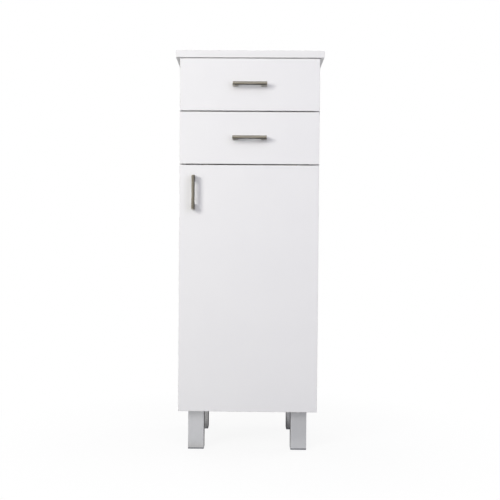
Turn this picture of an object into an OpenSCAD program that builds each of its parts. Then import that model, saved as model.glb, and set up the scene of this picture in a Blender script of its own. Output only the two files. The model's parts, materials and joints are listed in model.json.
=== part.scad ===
// Bathroom storage tower: a narrow flat-pack cabinet of white boards on four square metal legs,
// with two drawers over one cupboard door.
// X runs to the right, Y to the back and Z up. The floor is at Z = 0, and the origin is under the middle.
// Inside the modules Y is counted from the front edges of the side panels.

/* [Cabinet] */
// Width over the two side panels
body_w = 350; // [320:1:400]
// Height of the side panels
body_h = 880; // [860:1:960]
// Depth of the side panels
body_d = 310; // [300:1:340]
// Thickness of the white boards
board_t = 16; // [15:0.5:18]
// Thickness of the back panel
back_t = 3; // [2.5:0.5:5]
// Distance from the back panel to the rear edges of the side panels
back_in = 10; // [8:1:14]
// Depth of the grooves that hold the back panel
back_groove = 6; // [4:0.5:8]
// Width of the two rails under the countertop
rail_w = 80; // [70:1:100]
// How far the divider lies below the top edge of the door
divider_drop = 2; // [1:0.5:4]

/* [Countertop] */
// Thickness of the countertop
top_t = 18; // [16:1:28]
// Overhang past each side panel
top_side_over = 9; // [0:1:20]
// Overhang past the drawer fronts
top_front_over = 5; // [0:1:15]

/* [Fronts] */
// Thickness of the door and drawer fronts
front_t = 16; // [15.5:0.5:18]
// Gap between neighbouring fronts
front_gap = 3; // [2:0.5:4]
// Gap between the upper drawer front and the countertop
top_gap = 1; // [0.5:0.5:4]
// How far a front stays inside the outer face of each side panel
side_reveal = 1.5; // [1:0.5:3]
// Gap between the backs of the fronts and the cabinet
door_gap = 2; // [2:0.5:3]
// Height of a drawer front
drawer_front_h = 129; // [126:1:140]

/* [Shelves] */
// Distance from the cabinet's front to a shelf's front edge
shelf_in = 20; // [15:1:40]
// Side clearance of a shelf
shelf_side_fit = 1; // [0.5:0.5:2]
// Height of the first pin hole over the bottom panel
pin_first = 110; // [95:1:125]
// Spacing of the pin holes
pin_pitch = 32; // [30:1:33]
// Pin holes in a column
pin_rows = 11; // [11:1:12]
// Row that carries the lower shelf, counted from 0
lower_shelf_row = 3; // [2:1:4]
// Row that carries the upper shelf, counted from 0
upper_shelf_row = 9; // [7:1:9]
// Distance from a pin hole to the nearer edge of the inner panels
pin_in = 45; // [40:1:60]
// Radius of a shelf pin
pin_r = 2.5; // [2:0.25:3]
// Depth of a pin hole
pin_deep = 10; // [9:0.5:12]

/* [Legs] */
// Width of a square leg
leg_w = 40; // [36:1:44]
// Wall of a leg's tube
leg_wall = 2; // [1.5:0.25:3]
// Height of a leg with its plate
leg_h = 98; // [80:1:150]
// Radius along a leg's corners
leg_round = 1.5; // [1:0.25:1.75]
// Width of the fixing plate on top of a leg
plate_w = 60; // [58:1:64]
// Thickness of the fixing plate
plate_t = 3; // [2:0.5:4]
// Distance from the side of the cabinet to a leg
leg_side_in = 25; // [22:1:40]
// Distance from the cabinet's front to a front leg
leg_front_in = 12; // [12:1:20]
// Distance from the cabinet's back to a back leg
leg_back_in = 30; // [28:1:40]
// Height of the plug in the foot of a leg
plug_h = 12; // [8:1:16]
// Height of a foot pad
foot_h = 3.8; // [3:0.2:6]
// Radius of a foot's stem
foot_stem_r = 4; // [3:0.5:6]
// Length of a foot's stem
foot_stem_l = 30; // [28:1:40]

/* [Handles] */
// Length of a handle
handle_l = 85; // [80:1:100]
// Width of a handle's bar
handle_w = 8; // [7:0.5:11]
// How far a handle stands out
handle_out = 26; // [22:1:32]
// Thickness of the bar
handle_bar_t = 7; // [5:0.5:8]
// Length of each post, along the bar
handle_post = 14; // [12:1:18]
// Radius of the crowned front of the bar
handle_crown_r = 6; // [5.75:0.25:8]
// Radius in the inner corners of a handle
handle_corner_r = 4; // [2:0.5:6]
// How far a drawer's handle lies below the middle of its front
handle_down = 1; // [0:0.5:4]
// Distance from the door's left edge to its handle
door_handle_side = 35.5; // [30:0.5:60]
// Distance from the door's top edge to the middle of its handle
door_handle_drop = 69; // [60:1:120]

/* [Drawers] */
// Thickness of the drawer box's boards
box_t = 12; // [12:0.5:14]
// Height of a drawer box
box_h = 90; // [86:1:92]
// Height of the box over the lower edge of its front
box_up = 16; // [15:1:18]
// Thickness of the drawer bottom
bottom_t = 3; // [3:0.5:4]
// Height of the bottom's groove over the lower edge of the box
groove_up = 8; // [7:0.5:10]
// Depth of the groove
groove_deep = 5; // [4:0.25:5.5]
// How far the box's rear panel stays below the sides
rear_drop = 12; // [6:1:16]
// Free space behind a drawer box
box_back_gap = 9; // [6:1:15]

/* [Slides] */
// Space between a drawer box and a side panel
slide_gap = 12.5; // [12.25:0.25:13.5]
// Thickness of the slides' sheet steel
steel_t = 1.2; // [1:0.1:1.4]
// Radius of a roller
roller_r = 10; // [9:0.25:10.5]
// Width of a roller
roller_w = 6; // [5:0.25:6]
// Radius of a roller's rivet
rivet_r = 2; // [1.5:0.25:2.5]
// Height of the track over the lower edge of the box
track_up = 2; // [1.5:0.25:3]
// Distance from the cabinet's front to the front roller's rivet
front_roller_in = 14; // [12:1:18]
// Distance from the rear end of the box to the rear roller's rivet
rear_roller_in = 14; // [12:1:18]

/* [Hinges] */
// Radius of a hinge cup
cup_r = 17.5; // [17:0.25:18]
// Depth of a hinge cup
cup_deep = 11.5; // [11:0.25:12.5]
// Distance from the door's right edge to the middle of a cup
cup_in = 22.5; // [22:0.5:24]
// Distance from the door's upper and lower edge to a hinge
hinge_in = 90; // [80:1:95]
// Radius of a hinge pin
hinge_pin_r = 1.25; // [1:0.05:1.4]

/* [Fittings] */
// Radial clearance of a pin or screw in its hole
fit = 0.05; // [0.03:0.01:0.08]
// Clearance of a board in its groove
groove_fit = 0.2; // [0.1:0.05:0.3]
// Clearance between moving pieces
run_gap = 0.2; // [0.15:0.05:0.3]
// Radius of a wood screw
screw_r = 2; // [1.75:0.05:2]
// Length of a drawer screw
drawer_screw_l = 25; // [22:1:26]
// Length of a screw for slides and hinge plates
hardware_screw_l = 14; // [12:1:15]
// Length of a leg screw
leg_screw_l = 14; // [12:1:16]
// Length of a countertop screw
top_screw_l = 28; // [24:1:30]
// Radius of a cam lock
cam_r = 7.5; // [7:0.25:8]
// Distance from the end of a panel to a cam lock
cam_in = 24; // [22:1:28]
// Radius of a dowel
dowel_r = 4; // [3:0.5:4.5]
// Length of a dowel
dowel_l = 30; // [25:1:35]

/* [Hidden] */
$fn = 48;

LEFT = -1;
RIGHT = 1;

// Heights: underside and top of the side panels, and the lower edges of the fronts.
body_z = foot_h + run_gap + leg_h;
body_top = body_z + body_h;
upper_front_z = body_top - top_gap - drawer_front_h;
lower_front_z = upper_front_z - front_gap - drawer_front_h;
door_h = lower_front_z - front_gap - body_z;
divider_z = body_z + door_h - divider_drop - board_t;

// Plan: inner faces of the side panels, the fronts' faces, and the depth of the inner panels.
inner_x = body_w / 2 - board_t;
front_x = body_w / 2 - side_reveal;
front_y = -door_gap - front_t;
inner_d = body_d - back_in - back_t - groove_fit;
middle_y = (body_d + front_y - handle_out) / 2;

// Drawer box: outer face of its sides, and its rear end.
box_x = inner_x - slide_gap;
box_end = inner_d - box_back_gap;
box_inner_x = box_x - box_t;

// Slides, with heights over the lower edge of the box.
flange_up = track_up + 2 * roller_r + 1;
roller_x = 2;
rail_up = flange_up + 2 * steel_t + 3 * run_gap;
rail_end = inner_d - 8;
rear_roller_y = box_end - rear_roller_in;
rail_screw_up = track_up + roller_r + 1;
rail_screw_front = 26;
rail_screw_rear = 24;
rail_screw_ys = [front_roller_in + rail_screw_front, rail_end / 2, rail_end - rail_screw_rear];

// Hinge, in plan: the cup, its pin, the arm's pin, and the link that joins them.
cup_x = front_x - cup_in;
cup_wall = 1;
cup_pin = [cup_x + cup_r - 3.5, -door_gap - 2];
arm_pin = [cup_x - 4, -door_gap - 4];
link_reach = norm(cup_pin - arm_pin);
link_turn = atan2(cup_pin[1] - arm_pin[1], cup_pin[0] - arm_pin[0]);
hinge_zs = [body_z + hinge_in, body_z + door_h - hinge_in];
plate_screw_y = 37;
plate_screw_up = 17;
plate_margin = 6;
plate_wing = 8;
plate_base_t = 1.5;
plate_front_l = 18;
plate_rear_l = 20;
plate_up = 7;
arm_x = 3.5;
arm_up = 5;
arm_rear_l = 24;
fork_up = 1.9;
link_up = 1.5;

// Legs: middles of the legs, and of the screws in their plates.
leg_x = body_w / 2 - leg_side_in - leg_w / 2;
leg_front_y = leg_front_in + leg_w / 2;
leg_back_y = body_d - leg_back_in - leg_w / 2;
leg_screw_in = (leg_w + plate_w) / 4;

// Each end joint of an inner panel: height of its middle, place of the cam lock, place of the dowel.
cam_y = 90;
dowel_y = 40;
rail_dowel_step = 25;
panel_joints = [
    for (z = [body_z, divider_z])
        for (p = [[cam_y, dowel_y], [inner_d - cam_y, inner_d - dowel_y]])
            [z + board_t / 2, p[0], p[1]]
];
rail_joints = [
    [body_top - board_t / 2, rail_w / 2, rail_w / 2 - rail_dowel_step],
    [body_top - board_t / 2, inner_d - rail_w / 2, inner_d - rail_w / 2 + rail_dowel_step]
];
top_screw_x = 110;

// Heads of the screws.
head_h = 1.4;
pan_r = 1.75 * screw_r;

white = "white";
steel = "silver";
nickel = "darkgray";

// ---------- shapes that repeat ----------

// A board from its lowest corner to its highest one.
module board(low, high) {
    translate(low) cube(high - low);
}

// A screw along -Z with a pan head on +Z and a cross recess. Z = 0 is the head's seat.
module screw(shaft_r, shaft_l) {
    translate([0, 0, -shaft_l]) cylinder(r = shaft_r, h = shaft_l);
    difference() {
        cylinder(r1 = pan_r, r2 = pan_r * 0.75, h = head_h);
        for (turn = [0, 90])
            rotate([0, 0, turn])
                translate([-pan_r / 2, -0.4, head_h - 0.8])
                    cube([pan_r, 0.8, head_h]);
    }
}

// The hole for a screw's shaft, a little longer than the shaft.
module screw_hole(shaft_r, shaft_l) {
    translate([0, 0, -shaft_l - 0.5]) cylinder(r = shaft_r + fit, h = shaft_l + 1);
}

// A square with round corners, around the origin.
module rounded_square(width, round_r) {
    straight = width - 2 * round_r;
    square([width, straight], center = true);
    square([straight, width], center = true);
    for (x = [-1, 1])
        for (y = [-1, 1])
            translate([x * straight / 2, y * straight / 2]) circle(r = round_r);
}

// The children, and their copies on the other side of the cabinet.
module both_sides() {
    children();
    mirror([1, 0, 0]) children();
}

// The children turned so that their +Z points to the cabinet's middle, from the right side.
module from_right() {
    rotate([0, -90, 0]) children();
}

// ---------- joints between panels ----------

cam_channel_r = 3.6;
cam_deep = board_t - 3;
bolt_in = 11;
bolt_r = 2.5;

// The places of the joints at the right side: X = 0 is the joint's plane, and +X goes into the panel.
module at_joints(joints, column) {
    for (joint = joints)
        translate([inner_x, joint[column], joint[0]]) mirror([1, 0, 0]) children();
}

module cam_lock() {
    difference() {
        translate([cam_in, 0, -board_t / 2]) cylinder(r = cam_r - fit, h = cam_deep - run_gap);
        translate([cam_in - cam_r - 1, 0, 0]) rotate([0, 90, 0]) cylinder(r = cam_channel_r, h = cam_r + 4);
        for (turn = [0, 90])
            translate([cam_in, 0, -board_t / 2])
                rotate([0, 0, turn])
                    cube([cam_r, 1.2, 4], center = true);
    }
}

module cam_bolt() {
    rotate([0, 90, 0]) {
        translate([0, 0, -bolt_in]) cylinder(r = bolt_r, h = bolt_in);
        cylinder(r = bolt_r * 0.75, h = cam_in - 2);
        translate([0, 0, cam_in - 3]) cylinder(r = cam_channel_r - 0.5, h = 3);
    }
}

module dowel() {
    translate([-dowel_l * 0.4, 0, 0]) rotate([0, 90, 0]) cylinder(r = dowel_r, h = dowel_l);
}

// What the joints take out of an inner panel.
module panel_joint_holes(joints) {
    both_sides() {
        at_joints(joints, 1) {
            translate([cam_in, 0, -board_t]) cylinder(r = cam_r, h = board_t / 2 + cam_deep);
            translate([-1, 0, 0]) rotate([0, 90, 0]) cylinder(r = cam_channel_r, h = cam_in);
        }
        at_joints(joints, 2)
            translate([-1, 0, 0]) rotate([0, 90, 0]) cylinder(r = dowel_r + fit, h = dowel_l * 0.6 + 1.5);
    }
}

// What the joints take out of the right side panel.
module side_joint_holes() {
    for (joints = [panel_joints, rail_joints]) {
        at_joints(joints, 1)
            translate([-bolt_in - 0.5, 0, 0]) rotate([0, 90, 0]) cylinder(r = bolt_r + fit, h = bolt_in + 1);
        at_joints(joints, 2)
            translate([-dowel_l * 0.4 - 0.5, 0, 0]) rotate([0, 90, 0]) cylinder(r = dowel_r + fit, h = dowel_l);
    }
}

module cam_locks() {
    color(steel) both_sides() {
        at_joints(panel_joints, 1) cam_lock();
        at_joints(rail_joints, 1) cam_lock();
    }
}

module cam_bolts() {
    color(steel) both_sides() {
        at_joints(panel_joints, 1) cam_bolt();
        at_joints(rail_joints, 1) cam_bolt();
    }
}

module dowels() {
    color("burlywood") both_sides() {
        at_joints(panel_joints, 2) dowel();
        at_joints(rail_joints, 2) dowel();
    }
}

// ---------- boards of the cabinet ----------

// The four places where a screw holds the countertop to the rails.
module at_top_screws() {
    for (x = [-top_screw_x, top_screw_x])
        for (y = [rail_w / 2, inner_d - rail_w / 2])
            translate([x, y, body_top - board_t]) rotate([180, 0, 0]) children();
}

module countertop() {
    color(white) difference() {
        board([-body_w / 2 - top_side_over, front_y - top_front_over, body_top],
              [body_w / 2 + top_side_over, body_d, body_top + top_t]);
        at_top_screws() screw_hole(screw_r, top_screw_l);
    }
}

module countertop_screws() {
    color(steel) at_top_screws() screw(screw_r, top_screw_l);
}

// The columns of shelf pin holes, as places on the right side panel's inner face.
module at_pin_rows(rows) {
    for (row = rows)
        for (y = [pin_in, inner_d - pin_in])
            translate([inner_x, y, body_z + board_t + pin_first + row * pin_pitch]) children();
}

module side_panel(side) {
    color(white) scale([side, 1, 1]) difference() {
        board([inner_x, 0, body_z], [body_w / 2, body_d, body_top]);
        board([inner_x - 1, inner_d, body_z - 1], [inner_x + back_groove, inner_d + back_t + 2 * groove_fit,
              body_top + 1]);
        side_joint_holes();
        at_pin_rows([0 : pin_rows - 1])
            translate([-1, 0, 0]) rotate([0, 90, 0]) cylinder(r = pin_r + fit, h = pin_deep + 1);
        at_rail_screws() screw_hole(screw_r, hardware_screw_l);
        if (side == RIGHT) at_plate_screws() screw_hole(screw_r, hardware_screw_l);
    }
}

module bottom_panel() {
    color(white) difference() {
        board([-inner_x, 0, body_z], [inner_x, inner_d, body_z + board_t]);
        panel_joint_holes([panel_joints[0], panel_joints[1]]);
        at_leg_screws() screw_hole(screw_r, leg_screw_l);
    }
}

module divider_panel() {
    color(white) difference() {
        board([-inner_x, 0, divider_z], [inner_x, inner_d, divider_z + board_t]);
        panel_joint_holes([panel_joints[2], panel_joints[3]]);
    }
}

module top_rail_front() {
    color(white) difference() {
        board([-inner_x, 0, body_top - board_t], [inner_x, rail_w, body_top]);
        panel_joint_holes([rail_joints[0]]);
        at_top_screws() screw_hole(screw_r, top_screw_l);
    }
}

module top_rail_back() {
    color(white) difference() {
        board([-inner_x, inner_d - rail_w, body_top - board_t], [inner_x, inner_d, body_top]);
        panel_joint_holes([rail_joints[1]]);
        at_top_screws() screw_hole(screw_r, top_screw_l);
    }
}

module back_panel() {
    back_x = inner_x + back_groove - groove_fit;
    color(white) board([-back_x, inner_d + groove_fit, body_z + 1], [back_x, inner_d + groove_fit + back_t,
                       body_top - 1]);
}

// ---------- shelves ----------

pin_plate_t = 2;
pin_plate_w = 8;
pin_neck = 1.2;
pin_out = 9;

module shelf(row) {
    x = inner_x - shelf_side_fit;
    z = body_z + board_t + pin_first + row * pin_pitch + pin_r;
    color(white) board([-x, shelf_in, z], [x, inner_d - 2 * shelf_side_fit, z + board_t]);
}

// A pin with a round peg in the side panel and a flat tongue under the shelf.
module shelf_pins() {
    color(steel) both_sides() at_pin_rows([lower_shelf_row, upper_shelf_row]) {
        translate([-pin_neck, 0, 0]) rotate([0, 90, 0]) cylinder(r = pin_r, h = pin_neck + pin_deep - 1);
        translate([-pin_out, -pin_plate_w / 2, pin_r - pin_plate_t]) cube([pin_out, pin_plate_w, pin_plate_t]);
    }
}

// ---------- legs ----------

module at_leg(side, y) {
    translate([side * leg_x, y, foot_h + run_gap]) children();
}

module at_legs() {
    for (side = [LEFT, RIGHT])
        for (y = [leg_front_y, leg_back_y])
            at_leg(side, y) children();
}

module at_leg_screws() {
    at_legs()
        for (x = [-1, 1])
            for (y = [-1, 1])
                translate([x * leg_screw_in, y * leg_screw_in, leg_h - plate_t]) rotate([180, 0, 0]) children();
}

module leg(side, y) {
    color(nickel) difference() {
        at_leg(side, y) {
            difference() {
                linear_extrude(leg_h - plate_t) rounded_square(leg_w, leg_round);
                translate([0, 0, -1]) linear_extrude(leg_h - plate_t + 1)
                    square(leg_w - 2 * leg_wall, center = true);
            }
            translate([0, 0, leg_h - plate_t]) linear_extrude(plate_t) rounded_square(plate_w, 4);
        }
        at_leg_screws() screw_hole(screw_r, leg_screw_l);
    }
}

module leg_screws() {
    color(steel) at_leg_screws() screw(screw_r, leg_screw_l);
}

module leg_plugs() {
    color("dimgray") at_legs() difference() {
        linear_extrude(plug_h) square(leg_w - 2 * leg_wall - 2 * fit, center = true);
        translate([0, 0, -1]) cylinder(r = foot_stem_r + fit, h = plug_h + 2);
    }
}

module foot(side, y) {
    color("dimgray") at_leg(side, y) translate([0, 0, -foot_h - run_gap]) {
        linear_extrude(foot_h) rounded_square(leg_w, leg_round);
        translate([0, 0, foot_h / 2]) cylinder(r = foot_stem_r, h = foot_h / 2 + foot_stem_l);
    }
}

// ---------- handles ----------

handle_hole_in = 9;
handle_screw_step = (handle_l - handle_post) / 2;

// A handle along X that stands out along -Y from Y = 0, with a crowned bar and two posts.
module handle() {
    gap_x = handle_l / 2 - handle_post;
    gap_y = handle_out - handle_bar_t;
    color(nickel) difference() {
        intersection() {
            board([-handle_l / 2, -handle_out, -handle_w / 2], [handle_l / 2, 0, handle_w / 2]);
            union() {
                translate([-handle_l / 2, handle_crown_r - handle_out, 0])
                    rotate([0, 90, 0]) cylinder(r = handle_crown_r, h = handle_l);
                board([-handle_l / 2, handle_crown_r - handle_out, -handle_w / 2],
                      [handle_l / 2, 0, handle_w / 2]);
            }
        }
        board([-gap_x, -gap_y + handle_corner_r, -handle_w], [gap_x, 1, handle_w]);
        board([-gap_x + handle_corner_r, -gap_y, -handle_w], [gap_x - handle_corner_r, 1, handle_w]);
        for (side = [LEFT, RIGHT])
            translate([side * (gap_x - handle_corner_r), -gap_y + handle_corner_r, -handle_w])
                cylinder(r = handle_corner_r, h = 2 * handle_w);
        at_handle_screws(0) translate([0, 0, -handle_hole_in])
            cylinder(r = screw_r + fit, h = handle_hole_in + 1);
    }
}

// The two screws of a handle, with their heads' seat at Y = wall.
module at_handle_screws(wall) {
    for (side = [LEFT, RIGHT])
        translate([side * handle_screw_step, wall, 0]) rotate([-90, 0, 0]) children();
}

// Moves a handle from the origin to its place on a drawer front.
module on_drawer_front(front_z) {
    translate([0, front_y, front_z + drawer_front_h / 2 - handle_down]) children();
}

// Stands a handle upright near the top left corner of the door.
module on_door() {
    translate([door_handle_side - front_x, front_y, body_z + door_h - door_handle_drop])
        rotate([0, 90, 0]) children();
}

// ---------- drawers ----------

// Places of the screws that hold a drawer together, with their heads' seats. All are the same screw.
side_screw_drop = 18;
side_screw_ups = [box_h / 2, box_h - side_screw_drop];
front_screw_x = 100;
front_screw_up = 24;
wrap_screw_in = 4.2;
wrap_screw_front = 30;
wrap_screw_rear = 40;
wrap_screw_ys = [wrap_screw_front, box_end - wrap_screw_rear];

module at_side_screws(box_z) {
    for (up = side_screw_ups)
        for (y = [box_t / 2 - door_gap, box_end - box_t / 2])
            translate([box_x, y, box_z + up]) rotate([0, 90, 0]) children();
}

module at_front_screws(box_z) {
    for (x = [-front_screw_x, front_screw_x])
        for (up = [front_screw_up, box_h - front_screw_up])
            translate([x, box_t - door_gap, box_z + up]) rotate([-90, 0, 0]) children();
}

module at_wrap_screws(box_z) {
    for (y = wrap_screw_ys)
        translate([box_x - wrap_screw_in, y, box_z - steel_t]) rotate([180, 0, 0]) children();
}

module drawer_screws(front_z) {
    box_z = front_z + box_up;
    color(steel) {
        both_sides() {
            at_side_screws(box_z) screw(screw_r, drawer_screw_l);
            at_wrap_screws(box_z) screw(screw_r, drawer_screw_l);
        }
        at_front_screws(box_z) screw(screw_r, drawer_screw_l);
    }
}

module drawer_front(front_z) {
    color(white) difference() {
        board([-front_x, front_y, front_z], [front_x, -door_gap, front_z + drawer_front_h]);
        at_front_screws(front_z + box_up) screw_hole(screw_r, drawer_screw_l);
        on_drawer_front(front_z) at_handle_screws(front_t) screw_hole(screw_r, front_t);
    }
}

// The panel behind the visible front, between the box's sides.
module inner_front(front_z) {
    box_z = front_z + box_up;
    color(white) difference() {
        board([-box_inner_x, -door_gap, box_z], [box_inner_x, box_t - door_gap, box_z + box_h]);
        bottom_groove(box_z);
        both_sides() at_side_screws(box_z) screw_hole(screw_r, drawer_screw_l);
        at_front_screws(box_z) screw_hole(screw_r, drawer_screw_l);
        on_drawer_front(front_z) at_handle_screws(front_t + box_t) screw_hole(screw_r, box_t);
    }
}

// The space that the bottom takes out of the sides and the inner front.
module bottom_groove(box_z) {
    x = box_inner_x + groove_deep;
    board([-x, box_t - door_gap - groove_deep, box_z + groove_up],
          [x, box_end + 1, box_z + groove_up + bottom_t + 2 * groove_fit]);
}

module drawer_side(front_z, side) {
    box_z = front_z + box_up;
    color(white) difference() {
        scale([side, 1, 1]) difference() {
            board([box_inner_x, -door_gap, box_z], [box_x, box_end, box_z + box_h]);
            at_side_screws(box_z) screw_hole(screw_r, drawer_screw_l);
            at_wrap_screws(box_z) screw_hole(screw_r, drawer_screw_l);
        }
        bottom_groove(box_z);
    }
}

module drawer_rear(front_z) {
    box_z = front_z + box_up;
    color(white) difference() {
        board([-box_inner_x, box_end - box_t, box_z + groove_up + bottom_t + 2 * groove_fit],
              [box_inner_x, box_end, box_z + box_h - rear_drop]);
        both_sides() at_side_screws(box_z) screw_hole(screw_r, drawer_screw_l);
    }
}

module drawer_bottom(front_z) {
    x = box_inner_x + groove_deep - groove_fit;
    z = front_z + box_up + groove_up + groove_fit;
    color("whitesmoke") board([-x, box_t - door_gap - groove_deep + groove_fit, z], [x, box_end, z + bottom_t]);
}

module drawer_handle_screws(front_z) {
    color(steel) on_drawer_front(front_z) at_handle_screws(front_t + box_t)
        screw(screw_r, front_t + box_t + handle_hole_in - 1);
}

// ---------- slides ----------

// The right slide's place: X = 0 is the outer face of the box, and Z = 0 its lower edge.
module at_slide(front_z) {
    translate([box_x, 0, front_z + box_up]) children();
}

module at_rail_screws() {
    for (front_z = [lower_front_z, upper_front_z])
        for (y = rail_screw_ys)
            translate([inner_x - steel_t, y, front_z + box_up + rail_screw_up]) from_right() children();
}

// A channel on the side panel with a roller's rivet at its front end.
module cabinet_rail() {
    lip_x = roller_x;
    difference() {
        union() {
            board([slide_gap - steel_t, 2, track_up - steel_t], [slide_gap, rail_end, rail_up]);
            board([lip_x, 2, track_up - steel_t], [slide_gap, rail_end, track_up]);
            board([lip_x + 1, 2, rail_up - steel_t], [slide_gap, rail_end, rail_up]);
            translate([0, front_roller_in, flange_up - run_gap - roller_r]) rotate([0, 90, 0]) {
                translate([0, 0, roller_x - 0.5]) cylinder(r = rivet_r + 1.2, h = 0.45);
                translate([0, 0, roller_x - 0.5]) cylinder(r = rivet_r, h = slide_gap - roller_x);
                translate([0, 0, roller_x + roller_w + fit])
                    cylinder(r = rivet_r + 2, h = slide_gap - roller_x - roller_w - fit - steel_t / 2);
            }
        }
        translate([slide_gap - steel_t, 0, rail_screw_up])
            for (y = rail_screw_ys)
                translate([0, y, 0]) from_right() screw_hole(screw_r, 2 * steel_t);
    }
}

module cabinet_rails() {
    color("ivory") both_sides()
        for (front_z = [lower_front_z, upper_front_z])
            at_slide(front_z) cabinet_rail();
}

// A strip round the lower edge of the box, with a flange over the rollers and a rivet at its rear end.
module runner() {
    lip_x = roller_x + roller_w + 0.6;
    difference() {
        union() {
            board([-box_t, 0, -steel_t], [0, box_end, 0]);
            board([0, 0, -steel_t], [steel_t, box_end, flange_up + steel_t]);
            board([0, 0, flange_up], [lip_x + steel_t, box_end, flange_up + steel_t]);
            board([lip_x, 0, flange_up - 3], [lip_x + steel_t, box_end, flange_up + steel_t]);
            translate([0, rear_roller_y, track_up + run_gap + roller_r]) rotate([0, 90, 0]) {
                translate([0, 0, steel_t / 2]) cylinder(r = rivet_r + 1.5, h = roller_x - steel_t / 2 - fit);
                translate([0, 0, steel_t / 2]) cylinder(r = rivet_r, h = roller_x + roller_w);
                translate([0, 0, roller_x + roller_w + fit]) cylinder(r = rivet_r + 1.2, h = 0.45);
            }
        }
        translate([-box_x, 0, 0]) at_wrap_screws(0) screw_hole(screw_r, 2 * steel_t);
    }
}

module runners(front_z) {
    color("ivory") both_sides() at_slide(front_z) runner();
}

module roller(y, z) {
    translate([roller_x, y, z]) rotate([0, 90, 0]) difference() {
        cylinder(r = roller_r, h = roller_w);
        translate([0, 0, -1]) cylinder(r = rivet_r + fit, h = roller_w + 2);
        translate([0, 0, roller_w - 1]) difference() {
            cylinder(r = roller_r - 2, h = 2);
            translate([0, 0, -1]) cylinder(r = rivet_r + 2, h = 4);
        }
    }
}

module front_rollers(front_z) {
    color(white) both_sides() at_slide(front_z) roller(front_roller_in, flange_up - run_gap - roller_r);
}

module rear_rollers(front_z) {
    color(white) both_sides() at_slide(front_z) roller(rear_roller_y, track_up + run_gap + roller_r);
}

// ---------- door and hinges ----------

cup_screw_side = 9.5;
cup_screw_up = 24;
cup_flange_t = 1.2;

module at_hinges() {
    for (z = hinge_zs) translate([0, 0, z]) children();
}

module at_cup_screws() {
    at_hinges()
        for (up = [-cup_screw_up, cup_screw_up])
            translate([cup_x - cup_screw_side, cup_flange_t - door_gap, up]) rotate([-90, 0, 0]) children();
}

module door_panel() {
    color(white) difference() {
        board([-front_x, front_y, body_z], [front_x, -door_gap, body_z + door_h]);
        at_hinges() translate([cup_x, -door_gap - cup_deep - fit, 0])
            rotate([-90, 0, 0]) cylinder(r = cup_r + fit, h = cup_deep + 1);
        at_cup_screws() screw_hole(screw_r, hardware_screw_l - 2);
        on_door() at_handle_screws(front_t) screw_hole(screw_r, front_t);
    }
}

module hinge_cups() {
    color(steel) at_hinges() difference() {
        union() {
            translate([cup_x, -door_gap - cup_deep, 0]) rotate([-90, 0, 0]) cylinder(r = cup_r, h = cup_deep);
            translate([cup_x, -door_gap, 0]) rotate([-90, 0, 0]) cylinder(r = cup_r + 1.5, h = cup_flange_t);
            board([cup_x - cup_screw_side - 6, -door_gap, -cup_screw_up - 6],
                  [cup_x - cup_screw_side + 6, cup_flange_t - door_gap, cup_screw_up + 6]);
        }
        difference() {
            translate([cup_x, cup_wall - door_gap - cup_deep, 0])
                rotate([-90, 0, 0]) cylinder(r = cup_r - cup_wall, h = cup_deep + 2);
            translate([cup_pin[0], cup_pin[1], -cup_r]) cylinder(r = hinge_pin_r, h = 2 * cup_r);
        }
        for (up = [-cup_screw_up, cup_screw_up])
            translate([cup_x - cup_screw_side, cup_flange_t - door_gap, up])
                rotate([-90, 0, 0]) screw_hole(screw_r, 2);
    }
}

module hinge_cup_screws() {
    color(steel) at_cup_screws() screw(screw_r, hardware_screw_l - 2);
}

module at_plate_screws() {
    at_hinges()
        for (up = [-plate_screw_up, plate_screw_up])
            translate([inner_x - plate_base_t, plate_screw_y, up]) from_right() children();
}

// A cross-shaped plate on the side panel, whose raised middle carries the hinge arm.
module hinge_plates() {
    arm_back_x = arm_pin[0] + arm_x;
    color(steel) difference() {
        at_hinges() {
            board([inner_x - plate_base_t, plate_screw_y - plate_wing, -plate_screw_up - plate_margin],
                  [inner_x, plate_screw_y + plate_wing, plate_screw_up + plate_margin]);
            board([arm_back_x, plate_screw_y - plate_front_l, -plate_up],
                  [inner_x, plate_screw_y + plate_rear_l, plate_up]);
        }
        at_plate_screws() screw_hole(screw_r, 3);
    }
}

// An arm from the plate into the hinge cup. The link turns on a pin in its forked nose.
module hinge_arms() {
    color(steel) at_hinges() {
        difference() {
            union() {
                board([arm_pin[0] - arm_x, arm_pin[1], -arm_up],
                      [arm_pin[0] + arm_x, plate_screw_y - plate_front_l, arm_up]);
                board([arm_pin[0] - arm_x, plate_screw_y - arm_rear_l, -plate_up],
                      [arm_pin[0] + arm_x, plate_screw_y + arm_rear_l, plate_up]);
                translate([arm_pin[0], arm_pin[1], -arm_up]) cylinder(r = arm_x, h = 2 * arm_up);
            }
            board([arm_pin[0] - 8, arm_pin[1] - 8, -fork_up], [arm_pin[0] + 8, 1, fork_up]);
        }
        translate([arm_pin[0], arm_pin[1], -arm_up]) cylinder(r = hinge_pin_r, h = 2 * arm_up);
    }
}

// A flat link on the arm's pin, with a finger that passes the cup's pin on its inner side.
module hinge_links() {
    link_r = 3;
    finger_in = hinge_pin_r + 1.05;
    finger_t = 2;
    color(steel) at_hinges()
        translate([arm_pin[0], arm_pin[1], 0]) rotate([0, 0, link_turn]) difference() {
            union() {
                translate([0, 0, -link_up]) cylinder(r = link_r, h = 2 * link_up);
                board([0, -finger_in - finger_t, -link_up], [link_reach - 6.5, link_r / 2, link_up]);
                board([link_reach - 7, -finger_in - finger_t, -link_up], [link_reach + 0.5, -finger_in, link_up]);
            }
            translate([0, 0, -link_up - 1]) cylinder(r = hinge_pin_r + fit, h = 2 * link_up + 2);
        }
}

module door_handle_screws() {
    color(steel) on_door() at_handle_screws(front_t) screw(screw_r, front_t + handle_hole_in - 1);
}

bumper_r = 4;
bumper_in = 8;
bumper_up = 30;

module door_bumpers() {
    color("whitesmoke")
        for (z = [body_z + bumper_up, body_z + door_h - bumper_up])
            translate([bumper_in - front_x, -door_gap, z])
                rotate([-90, 0, 0]) cylinder(r = bumper_r, h = door_gap - run_gap);
}

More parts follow.
